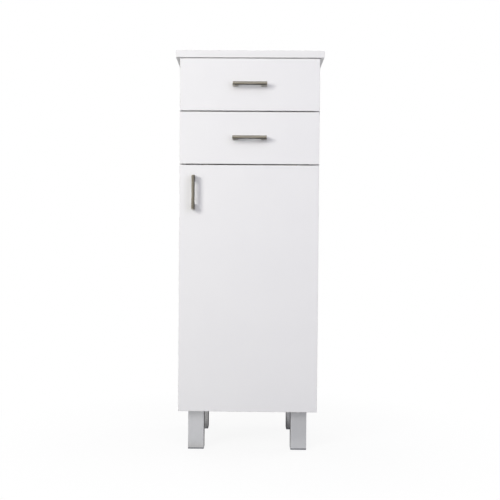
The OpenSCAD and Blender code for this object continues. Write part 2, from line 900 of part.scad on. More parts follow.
module hardware_screws() {
    color(steel) {
        both_sides() at_rail_screws() screw(screw_r, hardware_screw_l);
        at_plate_screws() screw(screw_r, hardware_screw_l);
    }
}

// Moves a piece from the cabinet's own Y to the part's origin, under its middle.
module placed() {
    translate([0, -middle_y, 0]) children();
}

// ---------- the pieces ----------

placed() countertop();
placed() side_panel(LEFT);  // side_panel_left
placed() side_panel(RIGHT);  // side_panel_right
placed() bottom_panel();
placed() divider_panel();
placed() top_rail_front();
placed() top_rail_back();
placed() back_panel();
placed() shelf(upper_shelf_row);  // shelf_upper
placed() shelf(lower_shelf_row);  // shelf_lower
placed() shelf_pins();
placed() cam_locks();
placed() cam_bolts();
placed() dowels();
placed() countertop_screws();

placed() leg(LEFT, leg_front_y);  // leg_front_left
placed() leg(RIGHT, leg_front_y);  // leg_front_right
placed() leg(LEFT, leg_back_y);  // leg_back_left
placed() leg(RIGHT, leg_back_y);  // leg_back_right
placed() leg_plugs();
placed() leg_screws();
placed() foot(LEFT, leg_front_y);  // foot_front_left
placed() foot(RIGHT, leg_front_y);  // foot_front_right
placed() foot(LEFT, leg_back_y);  // foot_back_left
placed() foot(RIGHT, leg_back_y);  // foot_back_right

placed() cabinet_rails();
placed() hardware_screws();
placed() hinge_plates();
placed() hinge_arms();
placed() hinge_links();

placed() drawer_front(upper_front_z);  // upper_drawer_front
placed() inner_front(upper_front_z);  // upper_drawer_inner_front
placed() drawer_side(upper_front_z, LEFT);  // upper_drawer_side_left
placed() drawer_side(upper_front_z, RIGHT);  // upper_drawer_side_right
placed() drawer_rear(upper_front_z);  // upper_drawer_rear
placed() drawer_bottom(upper_front_z);  // upper_drawer_bottom
placed() runners(upper_front_z);  // upper_drawer_runners
placed() on_drawer_front(upper_front_z) handle();  // upper_drawer_handle
placed() drawer_handle_screws(upper_front_z);  // upper_drawer_handle_screws
placed() drawer_screws(upper_front_z);  // upper_drawer_screws
placed() front_rollers(upper_front_z);  // upper_front_rollers
placed() rear_rollers(upper_front_z);  // upper_rear_rollers

placed() drawer_front(lower_front_z);  // lower_drawer_front
placed() inner_front(lower_front_z);  // lower_drawer_inner_front
placed() drawer_side(lower_front_z, LEFT);  // lower_drawer_side_left
placed() drawer_side(lower_front_z, RIGHT);  // lower_drawer_side_right
placed() drawer_rear(lower_front_z);  // lower_drawer_rear
placed() drawer_bottom(lower_front_z);  // lower_drawer_bottom
placed() runners(lower_front_z);  // lower_drawer_runners
placed() on_drawer_front(lower_front_z) handle();  // lower_drawer_handle
placed() drawer_handle_screws(lower_front_z);  // lower_drawer_handle_screws
placed() drawer_screws(lower_front_z);  // lower_drawer_screws
placed() front_rollers(lower_front_z);  // lower_front_rollers
placed() rear_rollers(lower_front_z);  // lower_rear_rollers

placed() door_panel();
placed() hinge_cups();
placed() hinge_cup_screws();
placed() on_door() handle();  // door_handle
placed() door_handle_screws();
placed() door_bumpers();
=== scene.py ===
"""A white bathroom storage tower on four metal legs: the finish of every piece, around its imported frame."""

import json
import math

import bmesh
import bpy
import numpy as np
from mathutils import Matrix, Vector

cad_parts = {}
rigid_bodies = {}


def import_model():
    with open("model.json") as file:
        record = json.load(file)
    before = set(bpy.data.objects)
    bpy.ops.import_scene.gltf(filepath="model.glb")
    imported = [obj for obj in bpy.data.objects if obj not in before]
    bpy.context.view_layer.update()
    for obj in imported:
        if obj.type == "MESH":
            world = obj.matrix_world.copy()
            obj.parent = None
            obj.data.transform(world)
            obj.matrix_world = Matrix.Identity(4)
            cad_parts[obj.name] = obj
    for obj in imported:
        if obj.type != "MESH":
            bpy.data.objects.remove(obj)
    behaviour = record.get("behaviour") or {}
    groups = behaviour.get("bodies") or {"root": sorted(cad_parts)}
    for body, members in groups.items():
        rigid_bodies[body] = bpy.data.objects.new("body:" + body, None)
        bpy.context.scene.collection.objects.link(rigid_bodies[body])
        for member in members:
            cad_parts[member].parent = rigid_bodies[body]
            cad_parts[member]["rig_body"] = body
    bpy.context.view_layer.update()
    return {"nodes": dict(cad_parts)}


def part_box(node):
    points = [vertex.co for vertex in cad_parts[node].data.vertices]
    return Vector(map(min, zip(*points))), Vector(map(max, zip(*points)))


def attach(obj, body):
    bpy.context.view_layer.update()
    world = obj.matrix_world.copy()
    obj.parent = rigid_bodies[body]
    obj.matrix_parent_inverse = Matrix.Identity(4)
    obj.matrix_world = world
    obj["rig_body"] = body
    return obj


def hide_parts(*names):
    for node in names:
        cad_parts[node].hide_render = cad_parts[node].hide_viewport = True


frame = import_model()
nodes = frame["nodes"]
MM = 0.001

# ---------- camera ----------
# The photograph is a front view from 2 m at half the tower's height, turned down by 1.1 degrees, to the
# left by 0.8 degrees and rolled by 0.4 degrees. view_width is what the image spans at the fronts. The
# camera's axis meets the image a little left of and below its middle, which the shift gives back.

front_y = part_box("door_panel")[0].y
camera_distance = 1.996
camera_x = 0.0
camera_z = 514.3 * MM
camera_roll = math.radians(-0.444)
camera_pitch = math.radians(1.096)
camera_yaw = math.radians(0.820)
view_width = 1.2447
axis_px = (237.14, 262.02)
image_px = 500
sensor_mm = 36

camera_data = bpy.data.cameras.new("camera")
camera_data.sensor_width = sensor_mm
camera_data.lens = sensor_mm * camera_distance / view_width
camera_data.shift_x = (image_px / 2 - axis_px[0]) / image_px
camera_data.shift_y = (axis_px[1] - image_px / 2) / image_px
camera = bpy.data.objects.new("camera", camera_data)
camera.location = (camera_x, front_y - camera_distance, camera_z)
camera.rotation_euler = (math.pi / 2 - camera_pitch, camera_roll, camera_yaw)
bpy.context.scene.collection.objects.link(camera)
bpy.context.scene.camera = camera
bpy.context.scene.view_settings.view_transform = "Standard"

# ---------- studio ----------
# A white sweep under soft light: a key from the left, a wide fill from the front, a weaker lamp from the
# right, and a top and two rear lamps for the faces that the photograph doesn't show. No gloss mirrors
# the lamps: the metal mirrors glowing light and dark cards in their place, which paint the studio's
# light, highlights and shade into the reflections.


def to_linear(code):
    """The linear colour of an sRGB hex code, with alpha 1."""
    channels = [int(code[i:i + 2], 16) / 255 for i in (1, 3, 5)]
    return [c / 12.92 if c <= 0.04045 else ((c + 0.055) / 1.055) ** 2.4 for c in channels] + [1.0]


def add(owner, kind, inputs=(), **settings):
    """Adds one shader node to a material or world. inputs pairs a socket with a value, or with the socket
    that is linked to it."""
    node = owner.node_tree.nodes.new("ShaderNode" + kind)
    for key, value in settings.items():
        setattr(node, key, value)
    for socket, value in dict(inputs).items():
        if isinstance(value, bpy.types.NodeSocket):
            owner.node_tree.links.new(value, node.inputs[socket])
        else:
            node.inputs[socket].default_value = value
    return node


def new_material(name):
    """A material with an empty node tree."""
    material = bpy.data.materials.new(name)
    material.use_nodes = True
    material.node_tree.nodes.clear()
    return material


def seen_directly(owner):
    """A socket that is 1 for camera, mirror and glass rays, and 0 for those that carry light."""
    path = add(owner, "LightPath")
    either = add(owner, "Math", {0: path.outputs["Is Camera Ray"], 1: path.outputs["Is Glossy Ray"]},
                 operation="MAXIMUM")
    return add(owner, "Math", {0: either.outputs[0], 1: path.outputs["Is Transmission Ray"]},
               operation="MAXIMUM").outputs[0]


def lamp(name, width, height, watts, place, aim, tint):
    """A soft rectangular lamp at a place, turned to the point that it aims at and hidden from gloss."""
    data = bpy.data.lights.new(name, "AREA")
    data.shape = "RECTANGLE"
    data.size, data.size_y = width, height
    data.energy = watts
    data.color = to_linear(tint)[:3]
    light = bpy.data.objects.new(name, data)
    light.location = place
    light.rotation_euler = (Vector(aim) - Vector(place)).to_track_quat("-Z", "Y").to_euler()
    light.visible_glossy = False
    bpy.context.scene.collection.objects.link(light)


def flat_sheet(name, corner, side_a, side_b):
    """A flat rectangle from a corner along two edge vectors."""
    corner, side_a, side_b = (np.array(v, float) for v in (corner, side_a, side_b))
    mesh = bpy.data.meshes.new(name)
    corners = [corner, corner + side_a, corner + side_a + side_b, corner + side_b]
    mesh.from_pydata(corners, [], [range(4)])
    sheet = bpy.data.objects.new(name, mesh)
    bpy.context.scene.collection.objects.link(sheet)
    return sheet


lamp("key", 0.8, 0.8, 27.7, (-1.32, -1.95, 1.22), (0, -0.15, 0.55), "#FFFDF7")
lamp("side", 1.2, 1.4, 8.4, (1.20, -2.00, 0.85), (0, -0.15, 0.6), "#F2F0FF")
lamp("front", 3.8, 3.0, 39.3, (0.2, -2.8, 1.55), (0, -0.15, 0.7), "#F8F8FF")
lamp("top", 1.6, 1.2, 12, (0, 0.35, 2.4), (0, 0.15, 0.9), "#FFFFFF")
lamp("rear_left", 2.0, 1.6, 27, (-1.3, 2.6, 1.7), (0, 0.15, 0.6), "#FFFFFF")
lamp("rear_right", 1.4, 1.4, 15, (2.2, 1.2, 1.5), (0, 0.1, 0.6), "#FFFFFF")

# The world is white to the eye, and lights the object more from above than from the sides and below.
world = bpy.data.worlds.new("studio")
world.use_nodes = True
world.node_tree.nodes.clear()
way = add(world, "TexCoord")
up = add(world, "SeparateXYZ", {0: way.outputs["Generated"]})
strength = add(world, "MapRange", {"Value": up.outputs["Z"], "From Min": -0.1, "From Max": 0.9,
                                   "To Min": 0.04, "To Max": 0.29})
shown = seen_directly(world)
lighting = add(world, "Background", {"Color": to_linear("#FBFBFF"), "Strength": strength.outputs[0]})
white_background = add(world, "Background", {"Color": to_linear("#FFFFFF"), "Strength": 1.0})
background = add(world, "MixShader", {0: shown, 1: lighting.outputs[0], 2: white_background.outputs[0]})
add(world, "OutputWorld", {"Surface": background.outputs[0]})
bpy.context.scene.world = world

# The floor is mid grey to the light that it throws back on the object. The eye sees it glow white, but
# near the legs a share of it is matt paint, which takes their faint shadow and fades out further away.
floor_half = 6.0
shadow_reach = (0.3, 0.8)
shadow_share = 0.1
mirrored_share = 0.5
floor = flat_sheet("floor", (-floor_half, -floor_half, 0), (2 * floor_half, 0, 0), (0, 2 * floor_half, 0))
floor_paint = new_material("white_studio_floor")
place = add(floor_paint, "TexCoord")
reach = add(floor_paint, "VectorMath", {0: place.outputs["Object"]}, operation="LENGTH")
near = add(floor_paint, "MapRange", {"Value": reach.outputs["Value"], "From Min": shadow_reach[0],
                                     "From Max": shadow_reach[1], "To Min": 1.0, "To Max": 0.0},
           interpolation_type="SMOOTHSTEP")
looking = add(floor_paint, "MapRange", {"Value": add(floor_paint, "LightPath").outputs["Is Camera Ray"],
                                        "To Min": mirrored_share, "To Max": shadow_share})
kept = add(floor_paint, "Math", {0: near.outputs[0], 1: looking.outputs[0]}, operation="MULTIPLY")
seen = seen_directly(floor_paint)
matt_share = add(floor_paint, "Mix", {"Factor": seen, "A": 1.0, "B": kept.outputs[0]})
tone = add(floor_paint, "Mix", {"Factor": seen, "A": to_linear("#848484"), "B": to_linear("#FAFAFA")},
           data_type="RGBA")
matt = add(floor_paint, "BsdfDiffuse", {"Color": tone.outputs["Result"]})
bright = add(floor_paint, "Emission", {"Color": to_linear("#FFFFFF"), "Strength": 1.0})
floor_mix = add(floor_paint, "MixShader", {0: matt_share.outputs["Result"], 1: bright.outputs[0],
                                           2: matt.outputs[0]})
add(floor_paint, "OutputMaterial", {"Surface": floor_mix.outputs[0]})
floor.data.materials.append(floor_paint)

# Cards and dark flags, which only mirror rays see: glowing sheets that stand in for the room's light and
# shade in the reflections. The upper card on the left is a painted highlight in place of the key lamp, which
# gloss doesn't see. The flag under the tower and the grey card in front of the right leg are painted shade,
# the shadowed floor there as the legs mirror it, and the light card between the legs is painted light on
# that floor. Those on the floor lie a small lift above it.
lift = 4 * MM
for name, shade, corner, side_a, side_b in (
        ("floor_card", "#DEDCD7", (-1.8, -3.4, lift), (3.6, 0, 0), (0, 2.6, 0)),
        ("low_flag", "#1E1D1B", (-0.5, -0.52, 0.55), (1.0, 0, 0), (0, 0.28, 0)),
        ("under_shade_flag", "#2A2825", (-0.17, 0.03, lift), (0.34, 0, 0), (0, 0.52, 0)),
        ("inner_light_card", "#D8D6D2", (-0.2, -0.16, lift), (0.22, 0, 0), (0, 0.19, 0)),
        ("right_floor_shade_flag", "#CECED0", (0.05, -0.75, lift), (0.4, 0, 0), (0, 0.55, 0)),
        ("ceiling_card", "#B4B1AB", (-1.8, -3.4, 2.6), (3.6, 0, 0), (0, 3.2, 0)),
        ("left_low_card", "#B6B3AD", (-2.2, -3.4, lift), (0, 2.9, 0), (0, 0, 0.87)),
        ("left_highlight_card", "#F6F4F0", (-2.2, -3.4, lift + 0.87), (0, 2.9, 0), (0, 0, 1.73)),
        ("right_card", "#8C8985", (2.2, -3.4, lift), (0, 2.9, 0), (0, 0, 2.6)),
        ("front_low_card", "#9A958C", (-2.2, -3.4, lift), (4.4, 0, 0), (0, 0, 1.15)),
        ("front_high_card", "#D2CFC9", (-2.2, -3.4, lift + 1.15), (4.4, 0, 0), (0, 0, 1.45))):
    card = flat_sheet(name, corner, side_a, side_b)
    card_paint = new_material(name + "_paper")
    paper = add(card_paint, "Emission", {"Color": to_linear(shade), "Strength": 1.0})
    add(card_paint, "OutputMaterial", {"Surface": paper.outputs[0]})
    card.data.materials.append(card_paint)
    card.visible_camera = False
    card.visible_diffuse = False
    card.visible_shadow = False
    card.visible_transmission = False

# ---------- cabinet boards ----------
# The carcass is chipboard faced with white melamine film, sawn to size, drilled for its fittings and
# edged with ABS bands about a millimetre thick, whose corners are rounded over by a scraper.

film_cloud = 140 * MM
band_t = 1.0 * MM
band_blur = 0.1 * MM
joint_half_width = 0.12 * MM
edge_round = 0.8 * MM
longest_bore_side = 6 * MM
corner_turn = math.radians(40)
level_turn = math.radians(1)
same_point = 0.01 * MM


def show(piece, node, material):
    """Puts a new piece in a CAD node's place, with its material and finish, on the body of that node."""
    piece.data.materials.clear()
    piece.data.materials.append(material)
    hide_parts(node)
    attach(piece, nodes[node]["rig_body"])


def eased(node, round_over, suffix, shortest=0):
    """A copy of a node with its edges rounded over: its own faces, merged, with a two-step bevel along each
    edge that turns by more than the corner turn. Such an edge under the shortest length, as round the
    bores of a board, is left sharp as the drill leaves it."""
    grid = bmesh.new()
    grid.from_mesh(nodes[node].data)
    bmesh.ops.remove_doubles(grid, verts=grid.verts, dist=same_point)
    bmesh.ops.dissolve_limit(grid, angle_limit=level_turn, verts=grid.verts, edges=grid.edges)
    round_share = grid.edges.layers.float.new("bevel_weight_edge")
    for edge in grid.edges:
        corner = edge.calc_face_angle(0) > corner_turn
        rounded = corner and edge.calc_length() > shortest
        edge[round_share] = float(rounded)
        edge.smooth = rounded or not corner
    mesh = bpy.data.meshes.new(node + suffix)
    grid.to_mesh(mesh)
    grid.free()
    mesh.polygons.foreach_set("use_smooth", np.ones(len(mesh.polygons), dtype=bool))
    piece = bpy.data.objects.new(node + suffix, mesh)
    bpy.context.scene.collection.objects.link(piece)
    bevel = piece.modifiers.new("rounded_over", "BEVEL")
    bevel.width = round_over
    bevel.segments = 2
    bevel.limit_method = "WEIGHT"
    bevel.use_clamp_overlap = False
    flats = piece.modifiers.new("flat_faces", "WEIGHTED_NORMAL")
    flats.weight = 100
    flats.keep_sharp = True
    return piece


def eased_board(node, round_over):
    """An eased copy of a board. Two attributes hold the board's middle and its half sizes, with a metre
    added along its thickness, so that half - |point - middle| is the distance to each edge band."""
    piece = eased(node, round_over, "_board", shortest=longest_bore_side)
    low, high = (np.array(corner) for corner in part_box(node))
    half = (high - low) / 2
    half[np.argmin(half)] += 1
    for name, value in (("middle", (low + high) / 2), ("half_size", half)):
        layer = piece.data.attributes.new(name, "FLOAT_VECTOR", "POINT")
        layer.data.foreach_set("vector", np.tile(value, len(piece.data.vertices)))
    return piece


def band_distance(material):
    """A socket with the distance in metres from a board's nearest edge, read from its two attributes."""
    point = add(material, "TexCoord").outputs["Object"]
    middle = add(material, "Attribute", attribute_name="middle").outputs["Vector"]
    half = add(material, "Attribute", attribute_name="half_size").outputs["Vector"]
    away = add(material, "VectorMath", {0: point, 1: middle}, operation="SUBTRACT").outputs[0]
    size = add(material, "VectorMath", {0: away}, operation="ABSOLUTE").outputs[0]
    left = add(material, "VectorMath", {0: half, 1: size}, operation="SUBTRACT").outputs[0]
    parts = add(material, "SeparateXYZ", {0: left}).outputs
    lower = add(material, "Math", {0: parts[0], 1: parts[1]}, operation="MINIMUM").outputs[0]
    return add(material, "Math", {0: lower, 1: parts[2]}, operation="MINIMUM").outputs[0]


def faced_board(name, film, film_shade, band, gloss, grain_mm, grain_depth):
    """White melamine film with ABS edge bands: a cloudy variation a hand wide, a fine pressed grain, and
    a hairline joint where the film meets the band. The real grain is about 0.3 mm, too fine for the
    render, so it is drawn at grain_mm."""
    material = new_material(name)
    point = add(material, "TexCoord").outputs["Object"]
    cloud = add(material, "TexNoise", {"Vector": point, "Scale": 1 / film_cloud, "Detail": 3.0})
    clouded = add(material, "Mix", {"Factor": cloud.outputs["Fac"], "A": to_linear(film),
                                    "B": to_linear(film_shade)}, data_type="RGBA")
    away = band_distance(material)
    on_band = add(material, "MapRange", {"Value": away, "From Min": band_t - band_blur,
                                         "From Max": band_t + band_blur, "To Min": 1.0, "To Max": 0.0})
    banded = add(material, "Mix", {"Factor": on_band.outputs[0], "A": clouded.outputs["Result"],
                                   "B": to_linear(band)}, data_type="RGBA")
    on_joint = add(material, "Math", {0: away, 1: band_t, 2: joint_half_width}, operation="COMPARE")
    jointed = add(material, "Mix", {"Factor": on_joint.outputs[0], "A": banded.outputs["Result"],
                                    "B": to_linear("#CFCDC8")}, data_type="RGBA")
    grain = add(material, "TexNoise", {"Vector": point, "Scale": 1 / (grain_mm * MM), "Detail": 2.0})
    rough = add(material, "MapRange", {"Value": grain.outputs["Fac"], "To Min": gloss - 0.05,
                                       "To Max": gloss + 0.05})
    press = add(material, "Bump", {"Height": grain.outputs["Fac"], "Strength": 0.25,
                                   "Distance": grain_depth * MM})
    skin = add(material, "BsdfPrincipled", {"Base Color": jointed.outputs["Result"],
                                            "Roughness": rough.outputs[0], "Normal": press.outputs[0],
                                            "IOR": 1.48})
    add(material, "OutputMaterial", {"Surface": skin.outputs[0]})
    return material


carcass_board = faced_board("white_melamine_satin", "#EDEDED", "#E8E8E9", "#EFEFEF", 0.42, 3.0, 0.02)
for node in ("side_panel_left", "side_panel_right", "bottom_panel", "divider_panel", "top_rail_front",
             "top_rail_back", "shelf_upper", "shelf_lower"):
    show(eased_board(node, edge_round), node, carcass_board)

# ---------- countertop ----------
# The top is the same chipboard in 18 mm, with a harder laminate and a softly rounded band all round.
# It overhangs both sides and is screwed on from below through the two rails.

top_round = 1.5 * MM

top_laminate = faced_board("white_laminate_top", "#EAEAEA", "#E7E7E8", "#EBEBEB", 0.34, 4.0, 0.03)
show(eased_board("countertop", top_round), "countertop", top_laminate)

# ---------- back panel ----------
# The back is 3 mm hardboard, slid into grooves in the side panels. It is painted white inside, and its
# outer face is the bare brown board: pressed fibres, smooth but mottled, with the odd darker fleck.

sheet_round = 0.3 * MM
bare_skin = 0.5 * MM
past_paint = 1.0 * MM
fibre_width, fibre_length = 1.5 * MM, 12 * MM
board_cloud = 30 * MM
fleck_width = 3 * MM


def hardboard(name, painted_low, painted_high, axis):
    """Hardboard that is white where its coordinate along axis lies between two values, and bare brown
    elsewhere. The fibres are stretched noise, mixed with a cloud a thumb wide, and the flecks are the rare
    peaks of a finer noise."""
    material = new_material(name)
    point = add(material, "TexCoord").outputs["Object"]
    place = add(material, "SeparateXYZ", {0: point}).outputs[axis]
    middle, half = (painted_low + painted_high) / 2, (painted_high - painted_low) / 2
    painted = add(material, "Math", {0: place, 1: middle, 2: half}, operation="COMPARE").outputs[0]
    along = add(material, "Mapping", {"Vector": point,
                                      "Scale": (1 / fibre_width, 1 / fibre_width, 1 / fibre_length)})
    fibres = add(material, "TexNoise", {"Vector": along.outputs[0], "Scale": 1.0, "Detail": 4.0})
    cloud = add(material, "TexNoise", {"Vector": point, "Scale": 1 / board_cloud, "Detail": 2.0})
    tone = add(material, "Mix", {"Factor": 0.3, "A": fibres.outputs["Fac"], "B": cloud.outputs["Fac"]})
    board = add(material, "ValToRGB", {"Fac": tone.outputs["Result"]})
    ramp = board.color_ramp
    ramp.elements[0].position, ramp.elements[0].color = 0.32, to_linear("#97744F")
    ramp.elements[1].position, ramp.elements[1].color = 0.66, to_linear("#B5936B")
    fleck = add(material, "TexNoise", {"Vector": point, "Scale": 1 / fleck_width, "Detail": 1.0})
    rare = add(material, "MapRange", {"Value": fleck.outputs["Fac"], "From Min": 0.74, "From Max": 0.82})
    flecked = add(material, "Mix", {"Factor": rare.outputs[0], "A": board.outputs["Color"],
                                    "B": to_linear("#7D5C3F")}, data_type="RGBA")
    coated = add(material, "Mix", {"Factor": painted, "A": flecked.outputs["Result"],
                                   "B": to_linear("#EBEBEB")}, data_type="RGBA")
    press = add(material, "Bump", {"Height": fibres.outputs["Fac"], "Strength": 0.3, "Distance": 0.05 * MM})
    skin = add(material, "BsdfPrincipled", {"Base Color": coated.outputs["Result"], "Roughness": 0.55,
                                            "Normal": press.outputs[0], "IOR": 1.5})
    add(material, "OutputMaterial", {"Surface": skin.outputs[0]})
    return material


back_low, back_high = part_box("back_panel")
back_board = hardboard("hardboard_white_inside", back_low.y - past_paint, back_high.y - bare_skin, "Y")
show(eased("back_panel", sheet_round, "_sheet"), "back_panel", back_board)

# ---------- cam locks, bolts, dowels and screws ----------
# The boards are drawn together by die-cast zinc cams on steel bolts and kept in line by beech dowels.
# The screws are zinc plated: a thin bluish plating, a little cloudy, over turned and pressed steel.

plated_round = 0.15 * MM
dowel_round = 0.5 * MM
pit_width = 0.6 * MM
grain_length, grain_width = 9 * MM, 0.8 * MM


def plated_steel(name, light, dark, gloss, cloud_mm):
    """Plated steel: full metal whose tone and roughness drift over a few millimetres, with a fine bump."""
    material = new_material(name)
    point = add(material, "TexCoord").outputs["Object"]
    cloud = add(material, "TexNoise", {"Vector": point, "Scale": 1 / (cloud_mm * MM), "Detail": 3.0})
    tint = add(material, "Mix", {"Factor": cloud.outputs["Fac"], "A": to_linear(light),
                                 "B": to_linear(dark)}, data_type="RGBA")
    rough = add(material, "MapRange", {"Value": cloud.outputs["Fac"], "To Min": gloss - 0.08,
                                       "To Max": gloss + 0.08})
    pits = add(material, "TexNoise", {"Vector": point, "Scale": 1 / pit_width, "Detail": 1.0})
    press = add(material, "Bump", {"Height": pits.outputs["Fac"], "Strength": 0.3, "Distance": 0.01 * MM})
    skin = add(material, "BsdfPrincipled", {"Base Color": tint.outputs["Result"], "Metallic": 1.0,
                                            "Roughness": rough.outputs[0], "Normal": press.outputs[0]})
    add(material, "OutputMaterial", {"Surface": skin.outputs[0]})
    return material


def beech(name):
    """Turned beech: pale pinkish tan with short darker flecks along the grain, which runs along X. A real
    fleck is 1 to 3 mm long and is drawn longer to show."""
    material = new_material(name)
    point = add(material, "TexCoord").outputs["Object"]
    along = add(material, "Mapping", {"Vector": point,
                                      "Scale": (1 / grain_length, 1 / grain_width, 1 / grain_width)})
    grain = add(material, "TexNoise", {"Vector": along.outputs[0], "Scale": 1.0, "Detail": 3.0})
    wood = add(material, "ValToRGB", {"Fac": grain.outputs["Fac"]})
    ramp = wood.color_ramp
    ramp.elements[0].position, ramp.elements[0].color = 0.35, to_linear("#B98C60")
    ramp.elements[1].position, ramp.elements[1].color = 0.60, to_linear("#DDBB90")
    skin = add(material, "BsdfPrincipled", {"Base Color": wood.outputs["Color"], "Roughness": 0.6})
    add(material, "OutputMaterial", {"Surface": skin.outputs[0]})
    return material


zinc = plated_steel("zinc_plated_steel", "#C9CCD0", "#AEB3B8", 0.34, 4)
for node in ("cam_locks", "cam_bolts", "countertop_screws", "leg_screws", "hardware_screws", "shelf_pins",
             "upper_drawer_handle_screws", "upper_drawer_screws", "lower_drawer_handle_screws",
             "lower_drawer_screws", "hinge_cup_screws", "door_handle_screws"):
    show(eased(node, plated_round, "_plated"), node, zinc)
show(eased("dowels", dowel_round, "_turned"), "dowels", beech("turned_beech"))

# ---------- legs and feet ----------
# Each leg is a square aluminium tube with a plate welded on top, satin anodised a cool grey. A plastic
# plug closes its lower end and carries the square foot pad, which shows as a thin darker line.

tube_round = 0.3 * MM
pad_round = 0.5 * MM
die_line_width, die_line_length = 1.2 * MM, 90 * MM
anodised_cloud = 35 * MM
plastic_cloud = 15 * MM


def anodised_extrusion(name, light, dark, gloss):
    """Anodised aluminium with die lines along Z: long narrow noise, which shifts the tone by a few shades
    and scores the surface faintly. Real die lines are about 0.2 mm apart and are drawn coarser."""
    material = new_material(name)
    point = add(material, "TexCoord").outputs["Object"]
    across, along = 1 / die_line_width, 1 / die_line_length
    lines = add(material, "Mapping", {"Vector": point, "Scale": (across, across, along)})
    die = add(material, "TexNoise", {"Vector": lines.outputs[0], "Scale": 1.0, "Detail": 3.0})
    cloud = add(material, "TexNoise", {"Vector": point, "Scale": 1 / anodised_cloud, "Detail": 2.0})
    mixed = add(material, "Mix", {"Factor": 0.5, "A": die.outputs["Fac"], "B": cloud.outputs["Fac"]})
    tint = add(material, "Mix", {"Factor": mixed.outputs["Result"], "A": to_linear(light),
                                 "B": to_linear(dark)}, data_type="RGBA")
    rough = add(material, "MapRange", {"Value": die.outputs["Fac"], "To Min": gloss - 0.03,
                                       "To Max": gloss + 0.03})
    score = add(material, "Bump", {"Height": die.outputs["Fac"], "Strength": 0.05, "Distance": 0.02 * MM})
    skin = add(material, "BsdfPrincipled", {"Base Color": tint.outputs["Result"], "Metallic": 0.6,
                                            "Specular Tint": to_linear("#131314"),
                                            "Roughness": rough.outputs[0], "Normal": score.outputs[0]})
    add(material, "OutputMaterial", {"Surface": skin.outputs[0]})
    return material


def moulded_plastic(name, colour, shade, gloss, grain_mm):
    """Injection-moulded plastic: nearly even colour with a spark-eroded grain."""
    material = new_material(name)
    point = add(material, "TexCoord").outputs["Object"]
    cloud = add(material, "TexNoise", {"Vector": point, "Scale": 1 / plastic_cloud, "Detail": 2.0})
    tint = add(material, "Mix", {"Factor": cloud.outputs["Fac"], "A": to_linear(colour),
                                 "B": to_linear(shade)}, data_type="RGBA")
    grain = add(material, "TexNoise", {"Vector": point, "Scale": 1 / (grain_mm * MM), "Detail": 1.0})
    rough = add(material, "MapRange", {"Value": grain.outputs["Fac"], "To Min": gloss - 0.06,
                                       "To Max": gloss + 0.06})
    press = add(material, "Bump", {"Height": grain.outputs["Fac"], "Strength": 0.3, "Distance": 0.03 * MM})
    skin = add(material, "BsdfPrincipled", {"Base Color": tint.outputs["Result"],
                                            "Roughness": rough.outputs[0],
                                            "Normal": press.outputs[0], "IOR": 1.5})
    add(material, "OutputMaterial", {"Surface": skin.outputs[0]})
    return material


leg_metal = anodised_extrusion("satin_anodised_aluminium", "#D1D2D4", "#CACBCD", 0.30)
foot_plastic = moulded_plastic("grey_moulded_nylon", "#8E9094", "#85878B", 0.5, 0.9)
for corner in ("front_left", "front_right", "back_left", "back_right"):
    show(eased("leg_" + corner, tube_round, "_tube"), "leg_" + corner, leg_metal)
    show(eased("foot_" + corner, pad_round, "_pad"), "foot_" + corner, foot_plastic)
show(eased("leg_plugs", tube_round, "_moulded"), "leg_plugs", foot_plastic)

# ---------- drawer slides ----------
# Cabinet rails and drawer runners are folded from 1.2 mm sheet steel and coated with cream-white epoxy
# powder, which leaves a faint orange peel. The rollers are moulded nylon, slightly waxy.

folded_round = 0.25 * MM
roller_round = 0.4 * MM
peel_width = 2 * MM
coat_cloud = 50 * MM


def powder_coat(name, colour, shade):
    """Epoxy powder coat: glossy, with an orange peel of fine ripples."""
    material = new_material(name)
    point = add(material, "TexCoord").outputs["Object"]
    peel = add(material, "TexNoise", {"Vector": point, "Scale": 1 / peel_width, "Detail": 1.0})
    cloud = add(material, "TexNoise", {"Vector": point, "Scale": 1 / coat_cloud, "Detail": 2.0})
    tint = add(material, "Mix", {"Factor": cloud.outputs["Fac"], "A": to_linear(colour),
                                 "B": to_linear(shade)}, data_type="RGBA")
    ripple = add(material, "Bump", {"Height": peel.outputs["Fac"], "Strength": 0.4, "Distance": 0.05 * MM})
    skin = add(material, "BsdfPrincipled", {"Base Color": tint.outputs["Result"], "Roughness": 0.3,
                                            "Normal": ripple.outputs[0], "IOR": 1.55})
    add(material, "OutputMaterial", {"Surface": skin.outputs[0]})
    return material


slide_coat = powder_coat("white_epoxy_powder_coat", "#E9E7DF", "#E2DFD5")
roller_nylon = moulded_plastic("white_moulded_nylon", "#ECEBE4", "#E4E2D9", 0.36, 0.8)
for node in ("cabinet_rails", "upper_drawer_runners", "lower_drawer_runners"):
    show(eased(node, folded_round, "_folded"), node, slide_coat)
for node in ("upper_front_rollers", "upper_rear_rollers", "lower_front_rollers", "lower_rear_rollers"):
    show(eased(node, roller_round, "_moulded"), node, roller_nylon)

# ---------- drawers ----------
# Each drawer is a box of 12 mm faced boards, screwed at its corners, round a 3 mm bottom in grooves.
# Its 16 mm front is a separate board with a satin white film, screwed on from inside the box.

box_round = 0.5 * MM

front_board = faced_board("white_melamine_front", "#EEEEEE", "#EAEAEB", "#F0F0F0", 0.38, 3.0, 0.02)
for drawer in ("upper_drawer_", "lower_drawer_"):
    show(eased_board(drawer + "front", edge_round), drawer + "front", front_board)
    for part in ("inner_front", "side_left", "side_right", "rear"):
        show(eased_board(drawer + part, box_round), drawer + part, carcass_board)
    low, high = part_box(drawer + "bottom")
    bottom_board = hardboard(drawer + "bottom_hardboard", low.z + bare_skin, high.z + past_paint, "Z")
    show(eased(drawer + "bottom", sheet_round, "_sheet"), drawer + "bottom", bottom_board)

# ---------- door ----------
# The door is one 16 mm board with the drawers' film and bands, bored for two hinge cups and a handle.
# Two soft clear buttons near its free edge meet the side panel.

bumper_round = 0.6 * MM
milky_cloud = 3 * MM

show(eased_board("door_panel", edge_round), "door_panel", front_board)


